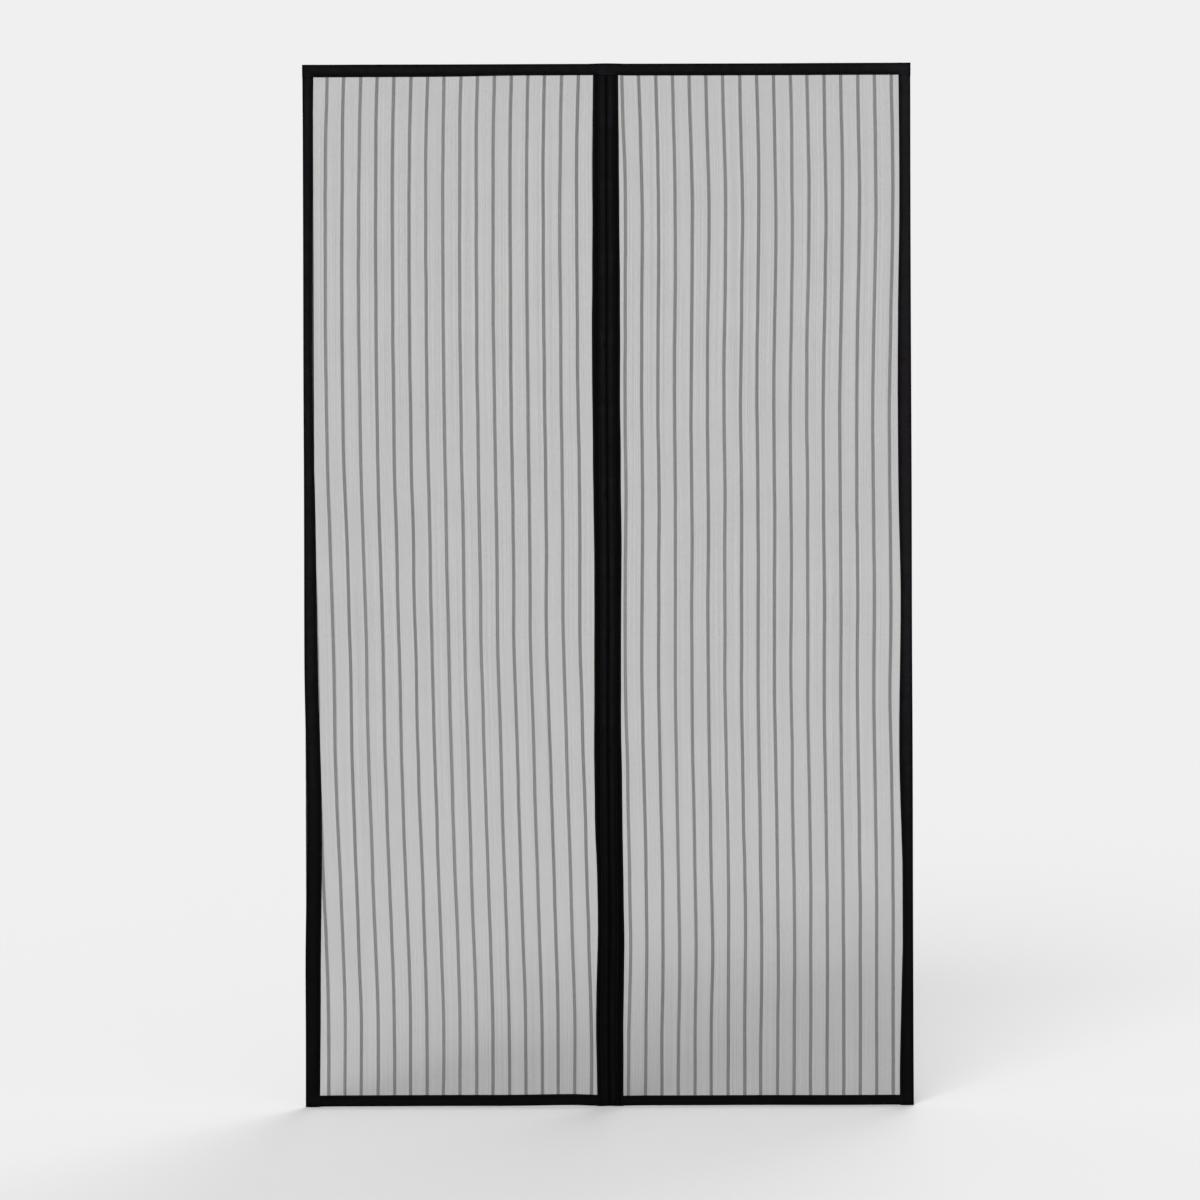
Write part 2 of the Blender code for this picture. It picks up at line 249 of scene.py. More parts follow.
def tapeSurface(graph):
    # the crowns of the tape carry a painted highlight, paler than the painted shade of its seams and folds;
    # painted light from the right makes the right edge paler still, and painted shade leaves the lower end
    # hardly paler at all
    look = tapeFinish
    cloth, across, along = clothAxes(graph)
    place = graph.objectPlace()
    spot = graph.axes(place)
    # painted light from above, ramping down to painted shade towards the bottom of the screen
    litHigh = graph.clampedStep(spot["Z"] - screenBottom, look["freshBelow"], look["fadedAbove"])
    paintedLight = litHigh * (1 - look["freshShare"]) + look["freshShare"]
    # painted light from the right makes the right part of the tape paler
    paintedLight = paintedLight * (graph.clampedStep(spot, look["sunnyFrom"], halfWidth) * litHigh * look["sunnyShare"] + 1)
    slub = graph.noiseAt(cloth, look["slubSize"], 2.0, (0.25, 1.0, 1.0))
    drift = graph.noiseAt(cloth, look["driftSize"], 1.0) * look["weftPitch"] * 1.5
    warp, weft = wave(across, look["warpPitch"]), wave(along + drift, look["weftPitch"])
    ribs = weft * (0.75 + warp * 0.35) + slub * 0.3
    mottle = graph.noiseAt(cloth, look["mottleSize"], 4.0)
    # the crown attribute holds the painted highlight of each point, with painted shade at seams and folds
    crown = graph.add("ShaderNodeAttribute", {"attribute_name": "crown"}, {}, out="Fac")
    highlightShare = (crown * 0.80 + (mottle - 0.5) * 1.1 * (crown + 0.15) + 0.04) * paintedLight
    # the painted highlight falls on the rib crests, leaving painted shade in the grooves between ribs
    crestHighlight = (ribs ** 1.6) * 0.85 + 0.04
    colour = graph.mixColour(highlightShare * crestHighlight, tinted(look["black"], look["tint"]),
                             tinted(look["worn"], look["tint"]))
    lint = graph.noiseAt(cloth, look["lintSize"], 1.0, (1.0, 0.4, 1.0))
    fluff = graph.clampedStep(lint, look["lintFrom"], look["lintTo"])
    colour = graph.mixColour(fluff * 0.5, colour, grey(look["lint"], 0.05))
    return {"Base Color": colour, "Roughness": 0.62 + mottle * 0.25,
            "Normal": graph.bump(0.8, look["ribHeight"], ribs)}


netFinish = {
    "thread": 0.045, "threadPale": 0.075,
    "columnPitch": 0.00135, "rowPitch": 0.00118,
    "threadCover": 0.74, "holeCover": 0.24, "holeShape": 2.6, "holeFrom": 0.42, "holeTo": 0.86,
    "stripePitch": 0.0353, "stripeCover": 0.42, "stripeHalf": 0.0033, "stripeEdge": 0.0047,
    "streakDepth": 0.11, "streakSize": 380.0, "patchDepth": 0.05, "patchSize": 9.0, "driftSize": 60.0,
    "threadHeight": 0.00012,
}


def netSurface(graph):
    look = netFinish
    cloth, across, along = clothAxes(graph)
    drift = graph.noiseAt(cloth, look["driftSize"], 2.0, (1.0, 0.12, 1.0)) - 0.5
    column = across / look["columnPitch"] + drift * 0.55
    step = column.maths("FLOOR")
    row = along / look["rowPitch"] + (step % 2.0) * 0.5 + drift * 0.3
    side = abs(column - step - 0.5) * 2
    end = abs(row % 1.0 - 0.5) * 2
    reach = side ** look["holeShape"] + end ** look["holeShape"]
    hole = 1 - graph.clampedStep(reach, look["holeFrom"], look["holeTo"])
    # the net is knitted closer under a stripe
    offStripe = abs((across / look["stripePitch"] + 0.5) % 1.0 - 0.5) * look["stripePitch"]
    closer = 1 - graph.clampedStep(offStripe, look["stripeHalf"], look["stripeEdge"])
    streaks = graph.noiseAt(cloth, look["streakSize"], 2.0, (1.0, 0.003, 1.0))
    patches = graph.noiseAt(cloth, look["patchSize"], 2.0)
    openCover = closer * (look["stripeCover"] - look["holeCover"]) + look["holeCover"]
    cover = hole * (openCover - look["threadCover"]) + look["threadCover"]
    cover = cover + (streaks - 0.5) * look["streakDepth"] * 2 + (patches - 0.5) * look["patchDepth"]
    colour = graph.mixColour(streaks, grey(look["thread"], -0.07), grey(look["threadPale"], -0.07))
    return {"Base Color": colour, "Roughness": 0.72 + hole * 0.1, "Alpha": cover.maths("MINIMUM", 1.0),
            "Normal": graph.bump(0.4, look["threadHeight"], 1 - hole)}


yarnFinish = {
    "yarn": 0.022, "yarnPale": 0.050, "warm": -0.09,
    "twistPitch": 0.0011, "twistLean": 0.8, "twistHeight": 0.0001, "fuzzSize": 700.0,
}


def yarnSurface(graph):
    look = yarnFinish
    place = graph.objectPlace()
    spot = graph.axes(place)
    twist = wave(spot + spot["Z"] * look["twistLean"], look["twistPitch"])
    fuzz = graph.noiseAt(place, look["fuzzSize"], 2.0)
    colour = graph.mixColour(twist * 0.5 + fuzz * 0.5, grey(look["yarn"], look["warm"]),
                             grey(look["yarnPale"], look["warm"]))
    return {"Base Color": colour, "Roughness": 0.65 + fuzz * 0.25,
            "Normal": graph.bump(0.5, look["twistHeight"], twist + fuzz)}


threadFinish = {"thread": 0.010, "threadPale": 0.030, "strandSize": 1600.0, "strandHeight": 0.00008}


def threadSurface(graph):
    look = threadFinish
    strands = graph.noiseAt(graph.objectPlace(), look["strandSize"], 2.0)
    colour = graph.mixColour(strands, grey(look["thread"], 0.05), grey(look["threadPale"], 0.05))
    return {"Base Color": colour, "Roughness": 0.42 + strands * 0.25,
            "Normal": graph.bump(0.4, look["strandHeight"], strands)}


magnetFinish = {"dark": 0.028, "pale": 0.060, "grainSize": 1400.0, "grainHeight": 0.00012, "stainSize": 120.0}


def magnetSurface(graph):
    look = magnetFinish
    place = graph.objectPlace()
    grain = graph.noiseAt(place, look["grainSize"], 3.0)
    stain = graph.noiseAt(place, look["stainSize"], 3.0)
    return {"Base Color": graph.mixColour(stain, grey(look["dark"], 0.03), grey(look["pale"])),
            "Roughness": 0.45 + grain * 0.25, "Metallic": 0.35 + stain * 0.3,
            "Normal": graph.bump(0.35, look["grainHeight"], grain)}


pileFinish = {"dark": 0.008, "pale": 0.026, "cool": 0.06, "fuzzSize": 1500.0, "fuzzHeight": 0.00022,
              "patchSize": 60.0}


def pileSurface(graph):
    look = pileFinish
    place = graph.objectPlace()
    fuzz = graph.noiseAt(place, look["fuzzSize"], 3.0)
    patches = graph.noiseAt(place, look["patchSize"], 2.0)
    colour = graph.mixColour(fuzz * 0.6 + patches * 0.4, grey(look["dark"], look["cool"]),
                             grey(look["pale"], look["cool"]))
    return {"Base Color": colour, "Roughness": 0.85 + patches * 0.1,
            "Normal": graph.bump(0.8, look["fuzzHeight"], fuzz)}


hookFinish = {"dark": 0.0045, "pale": 0.016, "smearSize": 45.0, "pitSize": 900.0, "speckSize": 520.0,
              "speckFrom": 0.60, "speckTo": 0.74, "pitHeight": 0.00012}


def hookSurface(graph):
    look = hookFinish
    place = graph.objectPlace()
    smear = graph.noiseAt(place, look["smearSize"], 4.0)
    pits = graph.noiseAt(place, look["pitSize"], 1.0)
    specks = graph.noiseAt(place, look["speckSize"], 1.0)
    specks = graph.clampedStep(specks, look["speckFrom"], look["speckTo"])
    colour = graph.mixColour(smear * 0.5 + specks * 0.6, grey(look["dark"], 0.04), grey(look["pale"], 0.02))
    return {"Base Color": colour, "Roughness": 0.38 + smear * 0.35,
            "Normal": graph.bump(0.5, look["pitHeight"], pits + smear + specks * 0.6)}


blackTape = newMaterial("blackWovenTape", tapeSurface, {
    "Specular IOR Level": 0.02, "Sheen Weight": 0.004, "Sheen Roughness": 0.45})
greyNet = newMaterial("greyKnittedNet", netSurface, {"Specular IOR Level": 0.15})
darkYarn = newMaterial("darkStripeYarn", yarnSurface, {"Specular IOR Level": 0.15})
blackThread = newMaterial("blackSewingThread", threadSurface, {"Specular IOR Level": 0.2})
darkFerrite = newMaterial("darkFerrite", magnetSurface, {"Specular IOR Level": 0.4})
blackPile = newMaterial("blackLoopPile", pileSurface, {
    "Specular IOR Level": 0.08, "Sheen Weight": 0.06, "Sheen Roughness": 0.5})
blackHooks = newMaterial("blackHookPlastic", hookSurface, {"Specular IOR Level": 0.16})
print("finishes made")


# Mesh helpers

def linked(name, data):
    made = bpy.data.objects.new(name, data)
    bpy.context.scene.collection.objects.link(made)
    return made


def meshFrom(name, sheet):
    mesh = bpy.data.meshes.new(name)
    sheet.to_mesh(mesh)
    sheet.free()
    return mesh


def finishPiece(name, mesh, material, replaced=()):
    piece = linked(name, mesh)
    if not mesh.materials:
        mesh.materials.append(material)
    mesh.shade_smooth()
    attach(piece, "root")
    if replaced:
        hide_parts(*replaced)
    return piece


def gridMesh(name, rows, cloth, closed, paintedHighlights=None):
    # rows of points, joined row to row, with the cloth's own map. A closed row is a ring with capped ends.
    # paintedHighlights says how much painted highlight each point gets
    sheet = bmesh.new()
    uvs = sheet.loops.layers.uv.new("clothMap")
    lines = [[sheet.verts.new(point) for point in row] for row in rows]
    across = len(rows[0])
    for i in range(len(lines) - 1):
        for j in range(across if closed else across - 1):
            k = (j + 1) % across
            face = sheet.faces.new((lines[i][j], lines[i][k], lines[i + 1][k], lines[i + 1][j]))
            spots = (cloth(i, j), cloth(i, j + 1), cloth(i + 1, j + 1), cloth(i + 1, j))
            for loop, spot in zip(face.loops, spots):
                loop[uvs].uv = spot
    if closed:
        sheet.faces.new(lines[0])
        sheet.faces.new(lines[-1])
        bmesh.ops.recalc_face_normals(sheet, faces=sheet.faces)
    mesh = meshFrom(name, sheet)
    if paintedHighlights:
        # the crown attribute carries the painted highlight of each point
        worn = mesh.attributes.new("crown", "FLOAT", "POINT")
        worn.data.foreach_set("value", [value for row in paintedHighlights for value in row])
    return mesh


def runThroughNodes(mesh, tree, values):
    # the mesh as the tree leaves it. Values go in by the name of the tree's input
    holder = linked("holder", mesh)
    nodes = holder.modifiers.new("nodes", "NODES")
    nodes.node_group = tree
    for item in tree.interface.items_tree:
        if item.item_type == "SOCKET" and item.in_out == "INPUT" and item.name in values:
            nodes[item.identifier] = values[item.name]
    evaluated = holder.evaluated_get(bpy.context.evaluated_depsgraph_get())
    made = bpy.data.meshes.new_from_object(evaluated)
    made.name = mesh.name
    holder.modifiers.remove(nodes)
    bpy.data.objects.remove(holder)
    return made


def newTree(name, inputs):
    tree = bpy.data.node_groups.new(name, "GeometryNodeTree")
    tree.interface.new_socket("Geometry", in_out="INPUT", socket_type="NodeSocketGeometry")
    for label, value in inputs.items():
        kind = "NodeSocketMaterial" if value is None else (
            "NodeSocketInt" if isinstance(value, int) else "NodeSocketFloat")
        socket = tree.interface.new_socket(label, in_out="INPUT", socket_type=kind)
        if value is not None:
            socket.default_value = value
    tree.interface.new_socket("Geometry", in_out="OUTPUT", socket_type="NodeSocketGeometry")
    graph = Graph(tree)
    entry = graph.add("NodeGroupInput")
    return tree, graph, entry


def closeTree(graph, geometry, material):
    # copies are made real, because the export drops instances
    real = graph.add("GeometryNodeRealizeInstances", {}, {"Geometry": geometry})
    dressed = graph.add("GeometryNodeSetMaterial", {}, {"Geometry": real, "Material": material})
    graph.add("NodeGroupOutput", {}, {0: dressed})


# Net: the two panels and the thick stripes in them. The cloth hangs a little askew, so the stripes lean
# and bow. The runs give how far from the middle two stripes of a panel lie, at distances down from the top.
# Each stripe wanders a little by itself too

net = {
    "lastStripe": {"left": 15, "right": 16},
    "firstRun": {
        "left": ((0, 0.0580), (0.16, 0.0624), (0.50, 0.0630), (1.00, 0.0597), (1.20, 0.0603), (1.34, 0.0567),
                 (1.51, 0.0518), (1.85, 0.0432), (2.02, 0.0390), (2.20, 0.0390)),
        "right": ((0, 0.0321), (0.30, 0.0390), (0.70, 0.0368), (0.92, 0.0385), (1.13, 0.0362), (1.34, 0.0370),
                  (1.73, 0.0431), (1.87, 0.0446), (2.04, 0.0412), (2.20, 0.0398))},
    "lastRun": {
        "left": ((0, 0.5894), (0.16, 0.5932), (0.55, 0.5947), (0.84, 0.5917), (1.00, 0.5865), (1.25, 0.5799),
                 (1.51, 0.5754), (1.85, 0.5629), (2.02, 0.5584), (2.20, 0.5589)),
        "right": ((0, 0.6010), (0.30, 0.6040), (0.70, 0.5957), (0.92, 0.5956), (1.13, 0.5972), (1.34, 0.5953),
                  (1.73, 0.5990), (1.87, 0.5988), (2.04, 0.5989), (2.20, 0.5981))},
    "selvedge": 0.0040,
    "wander": 0.0006, "wanderLength": 0.17,
    "step": 0.011, "seeds": {"left": 4.0, "right": 11.0},
}
clothWave = {
    "Billow": 0.0024, "Billow width": 0.30, "Billow height": 0.75, "Ripple": 0.0007, "Ripple width": 0.055,
    "Held edge": 0.030,
}
sides = {"left": -1, "right": 1}


def stripeAt(side, number, height):
    # distance of a stripe's middle line from the middle of the screen
    first = through(net["firstRun"][side], screenTop - height)
    last = through(net["lastRun"][side], screenTop - height)
    return first + (last - first) * number / net["lastStripe"][side]


def stripeWander(side, number, height):
    seed = number * 3.7 + (50 if side == "left" else 0)
    return net["wander"] * (sway(height, net["wanderLength"], seed) + 0.4 * sway(height, 0.045, seed + 20))


def clothAcross(side, across, height):
    # place on the flat cloth of a point that hangs this far from the middle, with the stripes a pitch apart
    near, far = stripeAt(side, 0, height), stripeAt(side, 1, height)
    number = (across - near) / (far - near)
    low = math.floor(number)
    shift = blendTo(stripeWander(side, low, height), stripeWander(side, low + 1, height), number - low)
    return number * netFinish["stripePitch"] - shift


def billowNodes():
    # cloth between its sewn edges stands a few millimetres out of flat
    tree, graph, entry = newTree("clothBillow", {
        **clothWave, "Low X": 0.0, "High X": 1.0, "Low Z": 0.0, "High Z": 1.0, "Seed": 0.0})
    x = graph.axes(graph.add("GeometryNodeInputPosition"))
    z = x["Z"]

    def slow(width, height, seed):
        return graph.noiseAt(graph.vector(x / width, entry["Seed"] + seed, z / height), 1.0, 1.0) - 0.5

    def heldAt(value, edge, sign):
        return graph.clampedStep((value - edge) * sign, 0.0, entry["Held edge"])

    free = (heldAt(x, entry["Low X"], 1) * heldAt(x, entry["High X"], -1)
            * heldAt(z, entry["Low Z"], 1) * heldAt(z, entry["High Z"], -1))
    depth = slow(entry["Billow width"], entry["Billow height"], 0.0) * entry["Billow"] * 4
    depth = depth + slow(entry["Ripple width"], 0.5, 9.0) * entry["Ripple"] * 4
    offset = graph.vector(y=depth * free)
    moved = graph.add("GeometryNodeSetPosition", {}, {"Geometry": entry, "Offset": offset})
    graph.add("NodeGroupOutput", {}, {0: moved})
    return tree


clothBillow = billowNodes()


def billowed(mesh, side):
    low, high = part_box(side + "_mesh")
    return runThroughNodes(mesh, clothBillow, {
        **clothWave, "Low X": low.x, "High X": high.x, "Low Z": low.z, "High Z": high.z,
        "Seed": net["seeds"][side]})


def netPanel(side):
    low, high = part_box(side + "_mesh")
    columns = round((high.x - low.x) / net["step"])
    lines = round((high.z - low.z) / net["step"] / 2)
    xs = [blendTo(low.x, high.x, j / columns) for j in range(columns + 1)]
    zs = [blendTo(high.z, low.z, i / lines) for i in range(lines + 1)]
    rows = [[(x, netDepth, z) for x in xs] for z in zs]

    def cloth(i, j):
        return clothAcross(side, abs(xs[j]), zs[i]), zs[i]

    mesh = gridMesh(side + "_net", rows, cloth, closed=False)
    piece = finishPiece(side + "_net", billowed(mesh, side), greyNet, [side + "_mesh"])


stripeYarn = {
    "Band width": 0.0058, "Yarn radius": 0.00028, "Lace radius": 0.00026, "Rail step": 0.030,
    "Lace step": 0.0026,
}
straightYarns = 7


def stripeNodes():
    # each line becomes straight yarns side by side, laced by one that crosses over and back
    tree, graph, entry = newTree("stripeYarns", {**stripeYarn, "Material": None})
    lines = graph.add("GeometryNodeMeshToCurve", {}, {"Mesh": entry})
    width = entry["Band width"]

    def yarn(curve, x, radius):
        shifted = graph.add("GeometryNodeSetPosition", {}, {"Geometry": curve, "Offset": graph.vector(x)})
        return graph.tube(shifted, 3, radius)

    straight = graph.resampled(lines, entry["Rail step"])
    laced = graph.resampled(lines, entry["Lace step"])
    index = graph.add("GeometryNodeInputIndex")
    parts = [yarn(laced, (index % 2.0 - 0.5) * width, entry["Lace radius"])]
    for number in range(straightYarns):
        place = number / (straightYarns - 1) - 0.5
        parts.append(yarn(straight, width * place, entry["Yarn radius"]))
    joined = graph.add("GeometryNodeJoinGeometry", {}, {0: parts})
    closeTree(graph, joined, entry["Material"])
    return tree


def stripePiece(side, tree):
    low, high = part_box(side + "_mesh")
    sign = sides[side]
    outer, inner = max(abs(low.x), abs(high.x)), min(abs(low.x), abs(high.x))
    steps = round((high.z - low.z) / 0.020)
    lines = bmesh.new()
    number = -1
    while stripeAt(side, number, high.z) < outer or stripeAt(side, number, low.z) < outer:
        last = None
        for i in range(steps + 1):
            height = blendTo(high.z, low.z, i / steps)
            across = stripeAt(side, number, height) + stripeWander(side, number, height)
            if not inner + net["selvedge"] < across < outer - net["selvedge"]:
                last = None
                continue
            point = lines.verts.new((sign * across, netDepth, height))
            if last:
                lines.edges.new((last, point))
            last = point
        number += 1
    mesh = meshFrom(side + "_stripes", lines)
    made = runThroughNodes(billowed(mesh, side), tree, {**stripeYarn, "Material": darkYarn})
    return finishPiece(side + "_stripes", made, darkYarn)


stripeTree = stripeNodes()
for side in sides:
    stripes = stripePiece(side, stripeTree)
    netPanel(side)
    print(side, "net panel and", len(stripes.data.polygons), "faces of stripes made")


# Seams: stitches along the lines that each tape gives

stitching = {"Spacing": 0.0045, "Length": 0.0031, "Radius": 0.00021, "Stand": 0.00016, "Sink": 0.00016}


def stitchNodes():
    tree, graph, entry = newTree("seamStitches", {**stitching, "Middle Y": 0.0, "Seed": 1, "Material": None})
    seam = graph.add("GeometryNodeMeshToCurve", {}, {"Mesh": entry})
    spaced = graph.resampled(seam, entry["Spacing"])
    points = graph.add("GeometryNodeCurveToPoints", {"mode": "EVALUATED"}, {"Curve": spaced})
    half = entry["Length"] * 0.5
    thread = graph.add("GeometryNodeCurveArc", {"mode": "POINTS"}, {
        "Resolution": 4,
        "Start": graph.vector(half * -1, 0.0, entry["Sink"] * -1), "Middle": graph.vector(z=entry["Stand"]),
        "End": graph.vector(half, 0.0, entry["Sink"] * -1)})
    stitch = graph.tube(thread, 4, entry["Radius"], capped=False)
    # the front of the cloth faces -Y and the back faces +Y
    depth = graph.axes(graph.add("GeometryNodeInputPosition"))["Y"]
    outward = graph.vector(y=(depth - entry["Middle Y"]).maths("SIGN"))
    turned = graph.add("FunctionNodeAxesToRotation", {"primary_axis": "X", "secondary_axis": "Z"},
                       {0: points["Tangent"], 1: outward})
    stretch = graph.randomBetween(0.86, 1.06, entry["Seed"])
    laid = graph.add("GeometryNodeInstanceOnPoints", {}, {
        "Points": points, "Instance": stitch, "Rotation": turned, "Scale": graph.vector(stretch, 1.0, 1.0)})
    closeTree(graph, laid, entry["Material"])
    return tree


stitchTree = stitchNodes()


def sewn(name, lines, seed):
    # each line is a row of points on the outer face of the cloth
    rows = bmesh.new()
    for line in lines:
        points = [rows.verts.new(point) for point in line]
        for a, b in zip(points, points[1:]):
            rows.edges.new((a, b))
    made = runThroughNodes(meshFrom(name, rows), stitchTree, {
        **stitching, "Middle Y": netDepth, "Seed": seed, "Material": blackThread})
    return finishPiece(name, made, blackThread)


# Binding tapes: a strip folded over the edge, with a soft crown on each leaf and a seam drawn into it.
# A section is the middle line of the strip, as points of distance from the fold, depth, and painted highlight

binding = {
    "leaf": 0.0007, "seam": 0.0022, "seamDraw": 0.00045, "seamReach": 0.0016,
    "front": 9, "fold": 5, "foldReach": 0.0016, "step": 0.0085, "seamEnd": 0.0036,
    "pucker": 0.00012, "puckerLength": 0.011, "puckerReach": 0.006, "seamFade": 0.006, "endFade": 0.008,
}


def leafShape(across, width, crown, seamed=1.0):
    # how far a leaf stands out of flat, and how much painted highlight it gets there: it is crowned between
    # the fold and the seam
    share = min(max(across / width, 0.0), 1.0)
    arch = math.sin(math.pi * share ** 0.8) if 0 < share < 1 else 0.0
    drawn = hump(across - (width - binding["seam"]), binding["seamReach"]) * seamed
    # painted highlight on the arch of the crown, painted shade where the seam draws the leaf in
    worn = arch ** 1.3 if share < 0.5 else blendTo(1.0, arch ** 1.3, seamed)
    return crown * arch ** 0.7 - binding["seamDraw"] * drawn, worn * (1 - 0.6 * drawn)


def foldedSection(frontWidth, backWidth, front, back, shape):
    # front and back are the leaves' inner faces, measured from the net
    half = binding["leaf"] / 2
    nose = (front + back + 2 * half) / 2
    reach = min(nose, binding["foldReach"])
    centre = (back - front) / 2
    points = []
    count = binding["front"]
    for i in range(count):
        across = blendTo(frontWidth, reach, i / (count - 1))
        lift, worn = shape(across, frontWidth)
        points.append((across, -(front + half + lift), worn))
    # the fold gets no painted highlight, so it stays in painted shade
    for i in range(1, binding["fold"] + 1):
        angle = math.pi * i / (binding["fold"] + 1)
        across = reach - (reach - half) * math.sin(angle)
        points.append((across, centre - nose * math.cos(angle), 0.0))
    for i in range(count):
        across = blendTo(reach, backWidth, i / (count - 1))
        lift, worn = shape(across, backWidth)
        points.append((across, back + half + lift, worn))
    return points


def thickRing(points, thickness):
    # both faces of a strip that follows the points, as one closed ring with rounded ends
    outer, inner = [], []
    for i, (a, d, worn) in enumerate(points):
        before, after = points[max(i - 1, 0)], points[min(i + 1, len(points) - 1)]
        run = Vector((after[0] - before[0], after[1] - before[1])).normalized()
        normal = Vector((-run.y, run.x)) * (thickness / 2)
        outer.append((a - normal.x, d - normal.y, worn))
        inner.append((a + normal.x, d + normal.y, worn))
    ends = []
    for index, neighbour in ((-1, -2), (0, 1)):
        last, run = Vector(points[index][:2]), Vector(points[index][:2]) - Vector(points[neighbour][:2])
        ends.append((*(last + run.normalized() * thickness * 0.35), points[index][2]))
    return outer + [ends[0]] + inner[::-1] + [ends[1]]


def seamOn(section, across, front):
    # depth of a leaf's outer face this far from the fold
    points = section if front else section[::-1]
    for (a, d, _), (b, e, _) in zip(points, points[1:]):
        if min(a, b) <= across <= max(a, b) and a != b:
            return blendTo(d, e, (across - a) / (b - a)) + binding["leaf"] / 2 * (-1 if front else 1)
    return section[0][1] if front else section[-1][1]


def loftTape(name, span, step, sectionAt, place, replaced, seams, seamSpan, seed):
    # sectionAt gives the section at a distance along the tape, and a seam its distance from the fold
    stations = [(distance, sectionAt(distance)) for distance in stationsAlong(*span, step, seamSpan)]
    rings, paintedHighlights, reaches = [], [], []
    half = binding["leaf"] / 2
    for distance, section in stations:
        ring = thickRing(section, binding["leaf"])
        rings.append([place(distance, across, depth) for across, depth, _ in ring])
        paintedHighlights.append([worn for _, _, worn in ring])
        total, spots = 0.0, [0.0]
        for a, b in zip(section, section[1:]):
            total += math.dist(a[:2], b[:2])
            spots.append(total)
        reaches.append(spots + [total + half] + spots[::-1] + [-half, 0.0])

    def cloth(i, j):
        return reaches[i][j], stations[i][0]

    mesh = gridMesh(name, rings, cloth, closed=True, paintedHighlights=paintedHighlights)
    piece = finishPiece(name, mesh, blackTape, replaced)
    lines = []
    for seam in seams:
        for front in (True, False):
            line = []
            for distance, section in stations:
                if seamSpan[0] <= distance <= seamSpan[1]:
                    across = seam(section[0 if front else -1][0])
                    line.append(place(distance, across, seamOn(section, across, front)))
            lines.append(line)
    stitches = sewn(name + "_stitches", lines, seed)


def lipSeam(width):
    return width - binding["seam"]


def stationsAlong(start, end, step, extra=()):
    # evenly spaced places, and any extra ones between them
    count = max(2, round(abs(end - start) / step))
    places = [blendTo(start, end, i / count) for i in range(count + 1)]
    return sorted(places + [place for place in extra if start < place < end])


clearance = 0.0003
leaf = binding["leaf"]
snug = 0.0005 + clearance  # from the middle of the net to the inside of a leaf that lies on it
over = snug + leaf + clearance  # to the inside of a leaf that lies on another tape
layerRamp = 0.0080
headerLow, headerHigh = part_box("header_tape")
sideLow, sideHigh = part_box("right_side_tape")
hemLow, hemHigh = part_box("right_hem_tape")
placketLow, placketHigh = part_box("right_placket")
headerWidth = headerHigh.z - headerLow.z
sideWidth = sideHigh.x - sideLow.x
hemWidth = hemHigh.z - hemLow.z
placketWidth = placketHigh.x - placketLow.x


def puckered(distance, seed, across, width):
    # small puckers that the stitches pull into the cloth beside the seam
    near = hump(across - (width - binding["seam"]), binding["puckerReach"])
    turn = 2 * math.pi * distance / binding["puckerLength"] + 2 * sway(distance, 0.05, seed)
    return binding["pucker"] * near * math.sin(turn)


# Header: one tape over the whole top edge. Its front leaf climbs onto the side tapes and the plackets

header = {
    # the header's painted highlight is a little weaker than on the other tapes
    "wave": 0.0003, "waveLength": 0.33, "crown": 0.0007, "wear": 0.85,
    "liftAtMiddle": 0.0007, "liftReach": 0.045, "seamOver": 0.005,
    "wider": ((-0.60, 0.0030), (-0.35, 0.0026), (-0.19, 0.0005), (-0.08, 0.0003), (0.07, 0.0014),
              (0.60, 0.0018)),
}


def headerTape():
    def frontAt(x):
        fromMiddle = abs(x) - placketHigh.x - clearance
        fromSide = halfWidth - sideWidth - clearance - abs(x)
        return blendTo(over, snug, smoothStep(min(fromMiddle, fromSide) / layerRamp))

    def place(x, across, depth):
        lift = header["wave"] * sway(x, header["waveLength"], 2.0)
        lift += header["liftAtMiddle"] * hump(x, header["liftReach"])
        return (x, netDepth + depth, screenTop - across + lift)

    def sectionAt(x):
        # the seam is flatter where the header crosses the other tapes
        fromSide = halfWidth - sideWidth + header["seamOver"] - abs(x)
        seamed = smoothStep(min(abs(x) - placket["channelEnd"], fromSide) / binding["seamFade"])
        atEnd = smoothStep((halfWidth - abs(x)) / binding["endFade"])

        def shape(across, width):
            lift, worn = leafShape(across, width, header["crown"], seamed)
            # painted highlight on the header's crown, fading to painted shade at its ends
            return lift + puckered(x, 3.0, across, width), worn * header["wear"] * atEnd

        wider = through(header["wider"], x)
        return foldedSection(headerWidth + wider, headerWidth - wider, frontAt(x), over, shape)

    seamSpan = (binding["seamEnd"] - halfWidth, halfWidth - binding["seamEnd"])
    loftTape("header_binding", (-halfWidth, halfWidth), binding["step"], sectionAt, place, ["header_tape"],
             [lipSeam], seamSpan, 1)


# Side tapes: over the outer edges. The left one draws in a little, low down, as the cloth pulls it

sideTape = {
    "drawIn": {"left": 0.0044, "right": 0.0}, "drawAt": 0.275, "drawReach": 0.15,
    "wave": 0.0003, "waveLength": 0.41, "waveFade": 0.08, "crown": 0.0007, "flatTop": 0.020,
    "seamUnder": 0.004, "backShorter": 0.0008,
    "wider": {
        "left": ((0, 0.0), (0.18, -0.0031), (0.50, -0.0059), (0.71, -0.0052), (0.92, -0.0002), (1.13, 0.0028),
                 (1.34, 0.0054), (1.60, 0.0072), (1.87, 0.0088), (2.20, 0.0062)),
        "right": ((0, 0.0014), (0.20, 0.0000), (0.33, 0.0002), (0.50, 0.0032), (0.71, 0.0050), (0.92, 0.0040),
                  (1.13, 0.0002), (1.45, 0.0045), (1.77, -0.0026), (1.98, 0.0017), (2.12, 0.0052),
                  (2.20, 0.0056))},
}


